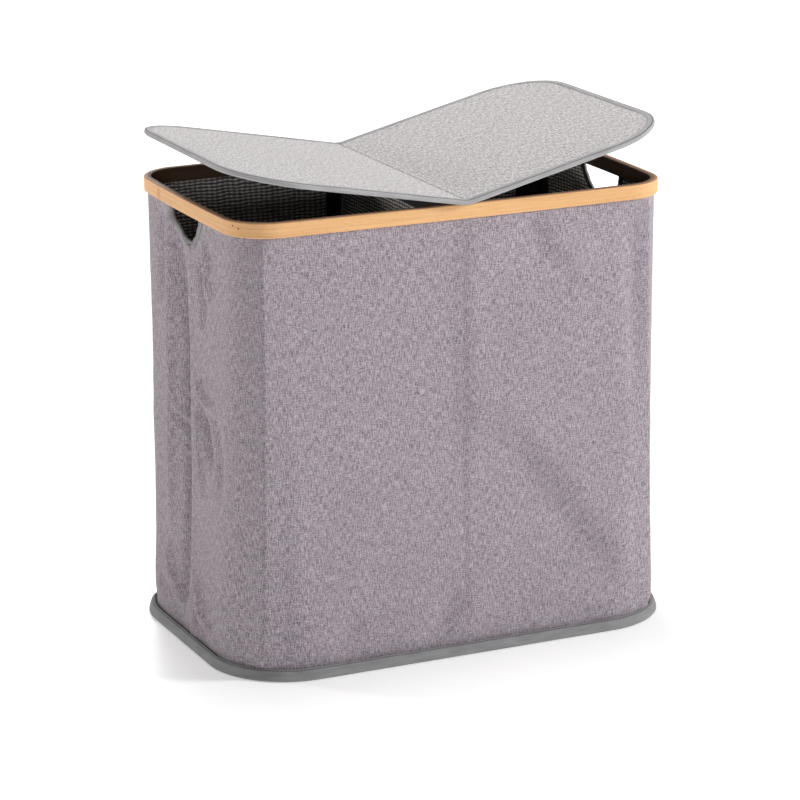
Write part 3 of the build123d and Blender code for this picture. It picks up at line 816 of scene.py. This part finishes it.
def makeWalls():
    # Outer cloth in two panels. The front one laps over the back one on both ends.
    for half in ("front", "back"):
        start = -body["seamAt"] if half == "front" else body["seamAt"] - body["seamLap"]
        points, outward, turned, uv = wallGrid(half, 0.0, body["tuck"], body["rows"], start)
        push = wallDrape(points, turned, half)
        if half == "front":
            toSeam = np.abs(points[..., 1] - body["seamAt"])
            lapped = (turned == 0) * np.exp(-np.clip(toSeam - lap["edge"], 0, None) / lap["reach"])
            push = push + lap["proud"] * lapped * np.clip((rimBottom - points[..., 2]) / lap["under"], 0, 1)
            curl = ripple(points[..., 2], points[..., 2] * 0, 0.05, 31)
            push = push + lap["curl"] * (1 + curl) * (turned == 0) * np.exp(-toSeam / lap["curlReach"])
        points = points + outward * push[..., None]
        piece = addCloth(f"{half}_body_cloth", points, uv, clothOutside, body["thickness"], half == "front")
        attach(piece, bodyName)
        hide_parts(f"{half}_body_panel")


def makeLinings():
    for half in ("front", "back"):
        start = 0.0 if half == "front" else -0.004
        inset = body["liningInset"] + (0.0003 if half == "back" else 0)
        points, outward, turned, uv = wallGrid(half, inset, -0.0006, body["liningRows"], start)
        points = points + outward * wallDrape(points, turned, half)[..., None]
        thickness = body["liningThickness"]
        piece = addCloth(f"{half}_lining_cloth", points, uv, clothInside, thickness, half == "back")
        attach(piece, bodyName)
        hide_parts(f"{half}_lining")
    print("linings made")


def onInnerWall(half, keep, inset, bottom, top, count, bulge=None):
    # Part of the wall's inner face, for a strip sewn on it: chosen columns, from bottom to top
    points, outward, turned, uv = wallGrid(half, inset, 0.0, count, 0.0)
    z = bottom + (top - bottom) * np.linspace(0, 1, count)[:, None]
    blend = ((z - wallFoot) / (rimBottom - wallFoot))[..., None]
    points = points[:1] + blend * (points[-1:] - points[:1])
    points[..., 2] = z
    push = wallDrape(points, turned, half)
    if bulge is not None:
        push = push - bulge(turned, points)
    points = points + outward * push[..., None]
    columns = np.nonzero(keep(points[0], turned[0]))[0]
    chosen = slice(columns[0], columns[-1] + 1)
    uv = np.stack([uv[..., 0], z + np.zeros(uv.shape[:2])], axis=2)
    return points[:, chosen], uv[:, chosen]


stripInset = body["liningInset"] + 0.0007


dividerTape = {"clear": 0.0011, "thickness": 0.0010, "rows": 90}


def makeDividerTapes():
    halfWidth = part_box("divider_tape_front")[1].x
    for half in ("front", "back"):
        points, uv = onInnerWall(half, lambda p, t: np.abs(p[:, 0]) < halfWidth,
                                 stripInset + dividerTape["clear"], sleeveLow.z, sleeveHigh.z,
                                 dividerTape["rows"])
        name = f"divider_tape_{half}_webbing"
        piece = addCloth(name, points, uv, webbing, dividerTape["thickness"], half == "back")
        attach(piece, bodyName)
        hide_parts(f"divider_tape_{half}")


sleeve = {
    "wing": 0.31,
    "channel": 0.0094,
    "halfChannel": 0.0085,
    "rounding": 1.35,
    "thickness": 0.0008,
    "rows": 100,
}


def makeSleeves():
    # Pockets for the rods: flat wings sewn to the lining and a round channel between them
    for half in ("front", "back"):
        for side, sign in (("left", -1), ("right", 1)):
            def keep(points, turned):
                return (points[:, 0] * sign > 0) & (np.abs(turned - 0.5) < sleeve["wing"])

            def channel(turned, points):
                up = np.clip((points[..., 2] - wallFoot) / (rimBottom - wallFoot), 0, 1)
                radius = body["footCorner"] + (body["rimCorner"] - body["footCorner"]) * up
                off = np.abs(turned - 0.5) * (pi / 2) * radius / sleeve["halfChannel"]
                return sleeve["channel"] * smoothStep(sleeve["rounding"] - off)

            points, uv = onInnerWall(half, keep, stripInset, sleeveLow.z, sleeveHigh.z,
                                     sleeve["rows"], channel)
            name = f"sleeve_{half}_{side}_cloth"
            piece = addCloth(name, points, uv, webbing, sleeve["thickness"], half == "back")
            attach(piece, bodyName)
            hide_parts(f"sleeve_{half}_{side}")
    print("rod sleeves and divider tapes made")


holeTape = {
    "wall": 0.0042,
    "steps": 150,
    "scallop": 0.0011,
    "scallopLength": 0.0105,
    "cockle": 2.2,
    "heldOver": 0.008,  # the cockles die out over this height under the rim
    "evenShare": 0.35,  # steps spread evenly, and bunched toward the ends
    "bunchedShare": 0.65,
    "sunk": 0.0014,
    "swell": 0.25,
    # Share of the way out from the hole's edge, and height over half the wall
    "profile": ((1.0, 0.55), (1.0, 1.0), (0.72, 1.08), (0.62, 0.86), (0.40, 1.10), (0.12, 1.0), (0.0, 0.45),
                (0.0, -0.45), (0.12, -1.0), (0.45, -1.12), (0.80, -1.05), (0.92, -0.9), (0.92, -0.45)),
    "darkFaces": (7, 12),  # these turn into the hamper and are black
}


def makeHoleTapes():
    for side, sign in (("left", -1), ("right", 1)):
        hole = handHoles[side]
        swing = np.cos(np.linspace(0, pi, holeTape["steps"]))
        even = np.linspace(1, -1, holeTape["steps"])
        swing = holeTape["evenShare"] * even + holeTape["bunchedShare"] * swing
        yIn, yOut = swing * hole["half"], swing * hole["outerHalf"]
        inner = np.stack([yIn, rimBottom - innerArch(yIn, side)], axis=1)
        outer = np.stack([yOut, rimBottom - outerArch(yOut, side)], axis=1)
        across = outer - inner
        # The folded edge is cockled where the tape is eased round the curve
        along = lengths(inner)
        cockle = ripple(along, along * 0, holeTape["scallopLength"], 5 if sign < 0 else 9)
        held = np.clip((rimBottom - inner[:, 1]) / holeTape["heldOver"], 0, 1)
        depth = holeTape["scallop"] * holeTape["cockle"] * cockle * held / hypot(*across.mean(axis=0))
        inner = inner - across * depth[:, None] * 0.5
        wall = holeTape["wall"] / 2
        profile = holeTape["profile"]
        points = np.zeros((len(swing), len(profile), 3))
        for place, (share, lift) in enumerate(profile):
            flatPlace = inner + across * share
            y, z = flatPlace[:, 0], np.minimum(flatPlace[:, 1], rimBottom + 0.0005)
            up = (z - wallFoot) / (rimBottom - wallFoot)
            shrink = body["rimInset"]
            halfTop = rimX - shrink - body["endBow"] * (y / (rimY - shrink)) ** 2
            x = footX + up * (halfTop - footX)
            base = np.stack([sign * x, y, z], axis=1)
            push = wallDrape(base, np.zeros(len(y)), "front")
            swell = 1 + holeTape["swell"] * cockle * held
            base[:, 0] = sign * (x + push - holeTape["sunk"] + lift * wall * swell)
            points[:, place] = base
        piece = addTape(f"{side}_hand_hole_binding", points, [tapeHole, webbing],
                        darkFrom=holeTape["darkFaces"], along=along)
        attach(piece, bodyName)
        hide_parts(f"{side}_hand_hole_tape")
    print("hand holes bound")


footTape = {
    "profile": ((0.0016, 0.0122), (0.0026, 0.0131), (0.0040, 0.0129), (0.0055, 0.0112), (0.0068, 0.0086),
                (0.0080, 0.0058), (0.0089, 0.0032), (0.0090, 0.0015), (0.0081, 0.0004), (0.0062, 0.0002),
                (0.0020, 0.0006), (-0.0040, 0.0012), (-0.0042, 0.0034), (0.0008, 0.0088)),
    "waver": 0.0008,
    "waves": ((23, 0, 1), (37, 1.3, 1), (61, 2.1, 0.7)),  # waves round the foot, start and share
    "lift": 0.6,
    "height": 0.013,
    "steps": 620,
}


def makeFootTape():
    # Folded tape round the foot, leaning out a little and wavering as it is sewn on
    half, turned = outline(footX, footY, body["footCorner"])
    ring = np.concatenate([half, half[::-1][1:-1] * (1, -1)])
    run = lengths(np.concatenate([ring, ring[:1]]))
    even = np.linspace(0, run[-1], footTape["steps"], endpoint=False)
    ring = np.stack([np.interp(even, run, np.append(ring[:, k], ring[0, k])) for k in (0, 1)], axis=1)
    tangent = np.roll(ring, -1, axis=0) - np.roll(ring, 1, axis=0)
    outward = np.stack([tangent[:, 1], -tangent[:, 0]], axis=1)
    outward /= np.linalg.norm(outward, axis=1, keepdims=True)
    phase = even / run[-1] * 2 * pi
    waves = sum(share * np.sin(phase * count + at) for count, at, share in footTape["waves"])
    waver = footTape["waver"] * waves / 2
    profile = np.array(footTape["profile"])
    points = np.zeros((len(ring), len(profile), 3))
    lean = profile[:, 1] / profile[:, 1].max()
    reach = profile[:, 0] + waver[:, None] * lean
    points[..., :2] = ring[:, None, :] + outward[:, None, :] * reach[..., None]
    points[..., 2] = profile[:, 1] * (1 + footTape["lift"] * waver[:, None] / footTape["height"])
    piece = addTape("base_binding_tape", points, [tapeFoot], closed=True, along=even)
    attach(piece, bodyName)
    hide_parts("base_binding")
    print("foot tape made")


divider = {
    "rows": 140,
    "columns": 90,
    "clear": 0.0035,  # it ends this far inside the strips on the walls
    "halfGap": 0.0013,
    "belly": 0.0016,
    "uneven": 0.0012,
    "thickness": 0.0008,
}


def makeDivider():
    # The divider hangs between its two tapes: a cloth over a stiff sheet, bellied a little
    width, height = 2 * dividerHigh.y, dividerHigh.z - dividerLow.z
    z = np.linspace(dividerLow.z, dividerHigh.z, divider["rows"])
    up = np.clip((z - wallFoot) / (rimBottom - wallFoot), 0, 1)
    reach = {}
    for half, toward in (("front", -1), ("back", 1)):
        plain = footY + up * (rimY - body["rimInset"] - footY)
        onWall = np.stack([z * 0, toward * plain, z], axis=1)
        clear = plain + wallDrape(onWall, np.ones(len(z)), half) - stripInset - divider["clear"]
        reach[half] = np.where(z > rimBottom - 0.002, hoopInner, np.minimum(clear, plain - 0.004))[:, None]
    share = np.linspace(0, 1, divider["columns"])[None, :]
    y = -reach["front"] + share * (reach["front"] + reach["back"])
    z = z[:, None] + share * 0
    for face, sign in (("left", -1), ("right", 1)):
        deep = np.sin(pi * np.clip((z - dividerLow.z) / height, 0, 1) ** 0.8)
        uneven = divider["belly"] + divider["uneven"] * ripple(y + sign, z, 0.16, 13 + sign)
        belly = np.sin(pi * share) ** 0.6 * deep * uneven
        points = np.stack([sign * (divider["halfGap"] + belly), y, z], axis=2)
        uv = np.stack([y + 0.4 * sign, z], axis=2)
        name = f"divider_cloth_{face}"
        piece = addCloth(name, points, uv, clothDivider, divider["thickness"], sign > 0)
        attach(piece, bodyName)
        if sign < 0:
            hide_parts("divider_panel")
    print("divider made")


lid = {
    "tapeProfile": ((0.0090, 0.0023), (0.0088, 0.0030), (0.0070, 0.0032), (0.0040, 0.0032),
                    (0.0018, 0.0028), (0.0006, 0.0018), (0.0001, 0.0000), (0.0006, -0.0018),
                    (0.0018, -0.0028), (0.0040, -0.0031), (0.0070, -0.0031), (0.0088, -0.0030),
                    (0.0090, -0.0022), (0.0060, -0.0021), (0.0024, -0.0016), (0.0016, 0.0000),
                    (0.0024, 0.0016), (0.0060, 0.0021)),
    "corner": 0.082,
    "hingeOffset": 0.004,
    "faceHeight": 0.0022,  # outer face of the cover over the leaf's middle plane
    "halfThick": 0.0031,
    "cloth": 0.0007,
    "creaseDepth": 0.0010,
    "creaseWidth": 0.0013,
    "coverInset": 0.0022,  # the cover's edge lies this far inside the tape's
    "blendNear": 0.001,  # two distances from the middle, near the spine and out on the leaf
    "blendFar": 0.0075,
    "sag": {"even": 0.0002, "wrinkle": 0.00022, "pull": 0.00018},
    "foldEase": 0.003,  # the leaf bends level over this length each side of its hinge line
    "rise": {"left": 0.0016, "right": 0.0026},
    "acrossSteps": 110,
    "alongSteps": 56,
    "cornerSteps": 34,
}


def leafLine(side):
    # Middle line of a leaf seen from the front: how far out and how high it is at each place s along it,
    # where s is 0 at the hinge line, and how far it leans there
    angle, height = hinges[side]["angle"], hinges[side]["height"]
    ease = lid["foldEase"]
    s = np.linspace(-0.006, 0.30, 6121)
    lean = angle * smoothStep((s + ease) / (2 * ease))
    stepLength = s[1] - s[0]
    out = np.concatenate([[0], np.cumsum(np.cos((lean[1:] + lean[:-1]) / 2) * stepLength)])
    up = np.concatenate([[0], np.cumsum(np.sin((lean[1:] + lean[:-1]) / 2) * stepLength)])
    out += lid["hingeOffset"] + ease * cos(angle) - np.interp(ease, s, out)
    up += height + ease * sin(angle) - np.interp(ease, s, up)
    return s, out, up, lean


leafLines = {side: leafLine(side) for side in hinges}


def onLeaf(side, s, y, h):
    # A point s out along the leaf, y back and h above its middle
    sTable, out, up, lean = leafLines[side]
    sign = -1 if side == "left" else 1
    tilt = np.interp(s, sTable, lean)
    x = sign * (np.interp(s, sTable, out) - h * np.sin(tilt))
    z = np.interp(s, sTable, up) + h * np.cos(tilt)
    return np.stack(np.broadcast_arrays(x, y, z), axis=-1)


def leafEdge(side):
    # Fold line's place on the leaf, its free end, and half its depth
    s, out, up, lean = leafLines[side]
    low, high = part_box(f"{side}_lid_binding")
    angle = hinges[side]["angle"]
    reach = max(-low.x, high.x)
    end = (reach - lid["hingeOffset"] - lid["halfThick"] * sin(angle)) / cos(angle)
    return float(np.interp(0, out, s)), end, high.y


def leafSpread(side, edgeInset):
    # Grid over a leaf's face: s down the columns and y across
    fold, end, halfDepth = leafEdge(side)
    radius = lid["corner"] - edgeInset
    end, halfDepth = end - edgeInset, halfDepth - edgeInset
    near = np.linspace(fold, 0.008, 16, endpoint=False)
    straight = np.linspace(0.008, end - radius, lid["alongSteps"], endpoint=False)
    turn = np.linspace(0, pi / 2, lid["cornerSteps"])
    s = np.concatenate([near, straight, end - radius + radius * np.sin(turn)])
    full = np.full(len(near) + len(straight), halfDepth)
    reach = np.concatenate([full, halfDepth - radius + radius * np.cos(turn)])
    share = np.linspace(-1, 1, lid["acrossSteps"])
    return s[:, None] + share * 0, reach[:, None] * share, (fold, end, halfDepth)


def makeLeaf(side):
    sign = -1 if side == "left" else 1
    s, y, (fold, end, halfDepth) = leafSpread(side, lid["coverInset"])
    toEnd = np.clip((s - fold) / (end - fold), 0, 1)
    crown = np.sin(pi * toEnd) ** 0.8 * (1 - (y / halfDepth) ** 2)
    wrinkle = ripple(s * 0.8, y, 0.07, 41 if sign < 0 else 43) + 0.5 * ripple(s, y, 0.028, 47)
    edgeGap = np.minimum(halfDepth - np.abs(y), end - s)
    pull = np.exp(-np.clip(edgeGap - 0.008, 0, None) / 0.012) * ripple(s + y * 0.3, y - s, 0.024, 51)
    onto = np.clip((edgeGap - 0.004) / 0.008, 0, 1) * np.clip((s - 0.002) / 0.02, 0, 1)
    distance, sag = s - fold, lid["sag"]
    crease = lid["creaseDepth"] * np.exp(-((distance / lid["creaseWidth"]) ** 2))
    for ply, faceSign, slot, material in (("cover", 1, "lid_cloth", clothLid),
                                          ("underside", -1, "lid_lining", backingCloth)):
        lift = lid["faceHeight"] + onto * (sag["even"] + sag["wrinkle"] * wrinkle + sag["pull"] * pull)
        lift = lift + (lid["rise"][side] * crown * onto if ply == "cover" else 0)
        lift = lift - (crease if ply == "cover" else 0)
        points = onLeaf(side, s, y, faceSign * lift)
        uv = np.stack([sign * s + (0.7 if faceSign > 0 else 1.9), y], axis=2)
        flip = (sign > 0) == (faceSign > 0)
        piece = addCloth(f"{side}_lid_{ply}_cloth", points, uv, material, lid["cloth"], not flip)
        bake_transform(piece)
        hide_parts(f"{side}_lid_{ply}")

    # The binding goes round the three free edges and up to the fold
    fold, end, halfDepth = leafEdge(side)
    radius = lid["corner"]
    turn = np.linspace(0, pi / 2, 48, endpoint=False)
    straight = np.concatenate([np.linspace(fold, 0.008, 12, endpoint=False),
                               np.linspace(0.008, end - radius, 90, endpoint=False)])
    frontEdge = [(a, -halfDepth, 0, 1) for a in straight]
    turnS, turnY = end - radius, -halfDepth + radius
    frontEdge += [(turnS + radius * sin(a), turnY - radius * cos(a), -sin(a), cos(a)) for a in turn]
    middle = [(end, b, -1, 0) for b in np.linspace(-halfDepth + radius, 0, 30, endpoint=False)]
    frontHalf = np.array(frontEdge + middle)
    backHalf = frontHalf[::-1] * (1, -1, 1, -1)
    path = np.concatenate([frontHalf, [(end, 0, -1, 0)], backHalf])
    profile = np.array(lid["tapeProfile"])
    sRing = path[:, 0:1] + path[:, 2:3] * profile[:, 0]
    yRing = path[:, 1:2] + path[:, 3:4] * profile[:, 0]
    run = lengths(path[:, :2])
    swell = 1 + 0.05 * ripple(run, run * 0, 0.05, 61 + sign)[:, None]
    hRing = profile[:, 1] * swell
    rings = onLeaf(side, sRing, yRing, hRing)
    piece = addTape(f"{side}_lid_edge_tape", rings, [tapeLid], along=run)
    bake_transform(piece)
    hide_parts(f"{side}_lid_binding")


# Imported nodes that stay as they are, and their finishes
finishes = {
    "rim_outer_hoop": rimOutside,
    "rim_inner_hoop": rimInsidePaintedShade,
    "lap_brads": bradSteel,
    "floor_board": hardboard,
    "floor_liner": blackCloth,
    "base_cloth": baseCloth,
    "rod_end_caps": capRubber,
    "divider_top_hem": blackWeb,
    "divider_loop_strip": loopPile,
    "lid_hook_strip": hookPile,
    "lid_spine": backingCloth,
    "left_lid_board": hardboard,
    "right_lid_board": hardboard,
}
for corner in ("front_left", "front_right", "back_left", "back_right"):
    finishes["rod_" + corner] = rodWhite


def finishNodes():
    for name, material in finishes.items():
        mesh = frame["nodes"][name].data
        mesh.materials.clear()
        mesh.materials.append(material)
    print("hoops, rods and boards finished")


def makeCamera():
    data = bpy.data.cameras.new("camera")
    camera = bpy.data.objects.new("camera", data)
    bpy.context.scene.collection.objects.link(camera)
    az, el, roll = (radians(view[key]) for key in ("azimuth", "elevation", "roll"))
    back = Vector((sin(az) * cos(el), -cos(az) * cos(el), sin(el)))
    right = Vector((0, 0, 1)).cross(back).normalized()
    up = back.cross(right)
    rightTurned = right * cos(roll) + up * sin(roll)
    upTurned = up * cos(roll) - right * sin(roll)
    place = Vector(view["target"]) + back * view["distance"]
    turned = Matrix((rightTurned, upTurned, back)).transposed().to_4x4()
    camera.matrix_world = Matrix.Translation(place) @ turned
    data.sensor_width = 36
    data.lens = view["lens"]
    data.shift_x, data.shift_y = view["shift"]
    data.clip_end = 50
    bpy.context.scene.camera = camera


def addSoftbox(name, place, aim, size, power, colour=(1.0, 1.0, 1.0)):
    light = bpy.data.lights.new(name, "AREA")
    light.color = colour
    light.shape = "RECTANGLE"
    light.size, light.size_y = size
    light.energy = power
    lamp = bpy.data.objects.new(name, light)
    bpy.context.scene.collection.objects.link(lamp)
    lamp.location = place
    lamp.rotation_euler = (Vector(aim) - Vector(place)).to_track_quat("-Z", "Y").to_euler()


studio = {
    "world": 0.14,
    "floorGlow": (0.30, 0.95),  # near the hamper, and far away
    "key": {"place": (3.1, -1.9, 1.9), "size": (0.7, 0.8), "power": 112},
    "leftFill": {"place": (-2.8, 2.3, 1.1), "size": (0.5, 0.7), "power": 50, "colour": (1.0, 0.965, 0.92)},
    "top": {"place": (0.1, 0.2, 3.2), "size": (1.2, 1.2), "power": 48},
    "back": {"place": (0.8, 3.2, 1.6), "size": (1.2, 1.0), "power": 26},
    "lowFront": {"place": (-1.1, -3.6, 0.95), "size": (1.2, 0.4), "power": 20},
}


def makeStudio():
    bpy.ops.mesh.primitive_plane_add(size=40, location=(0, 0, -0.0002))
    floor = bpy.context.active_object
    floor.name = "studio_floor"
    material, tree, shader = nodeTree("floor_white")
    grain = addNoise(tree, objectVector(tree), (0.6, 0.6, 0.6), 2, 0.5)
    shade = addRamp(tree, grain, ((0.3, (0.86, 0.86, 0.86)), (0.7, (0.88, 0.88, 0.88))))
    tree.links.new(shade, shader.inputs["Base Color"])
    shader.inputs["Roughness"].default_value = 0.35
    shader.inputs["Specular IOR Level"].default_value = 0.25
    shader.inputs["Emission Color"].default_value = (1, 1, 1, 1)
    near, far = studio["floorGlow"]
    distance = tree.nodes.new("ShaderNodeVectorMath")
    distance.operation = "LENGTH"
    tree.links.new(objectVector(tree), distance.inputs[0])
    away = times(tree, distance.outputs["Value"], 1 / 4.0)
    glow = addRamp(tree, away, ((0.1, (near, near, near)), (1.0, (far, far, far))))
    tree.links.new(glow, shader.inputs["Emission Strength"])
    floor.data.materials.append(material)
    world = bpy.data.worlds.new("studio")
    bpy.context.scene.world = world
    world.use_nodes = True
    world.node_tree.nodes["Background"].inputs[0].default_value = (1, 1, 1, 1)
    world.node_tree.nodes["Background"].inputs[1].default_value = studio["world"]
    for name in ("key", "leftFill", "top", "back", "lowFront"):
        addSoftbox(name, aim=(0, 0, 0.3), **studio[name])
    settings = bpy.context.scene.view_settings
    settings.view_transform = "Standard"
    settings.look = "None"
    print("floor and lights set")


makeCamera()
makeStudio()
finishNodes()
makeWalls()
makeLinings()
makeDividerTapes()
makeSleeves()
makeHoleTapes()
makeFootTape()
makeDivider()
for side in ("left", "right"):
    makeLeaf(side)
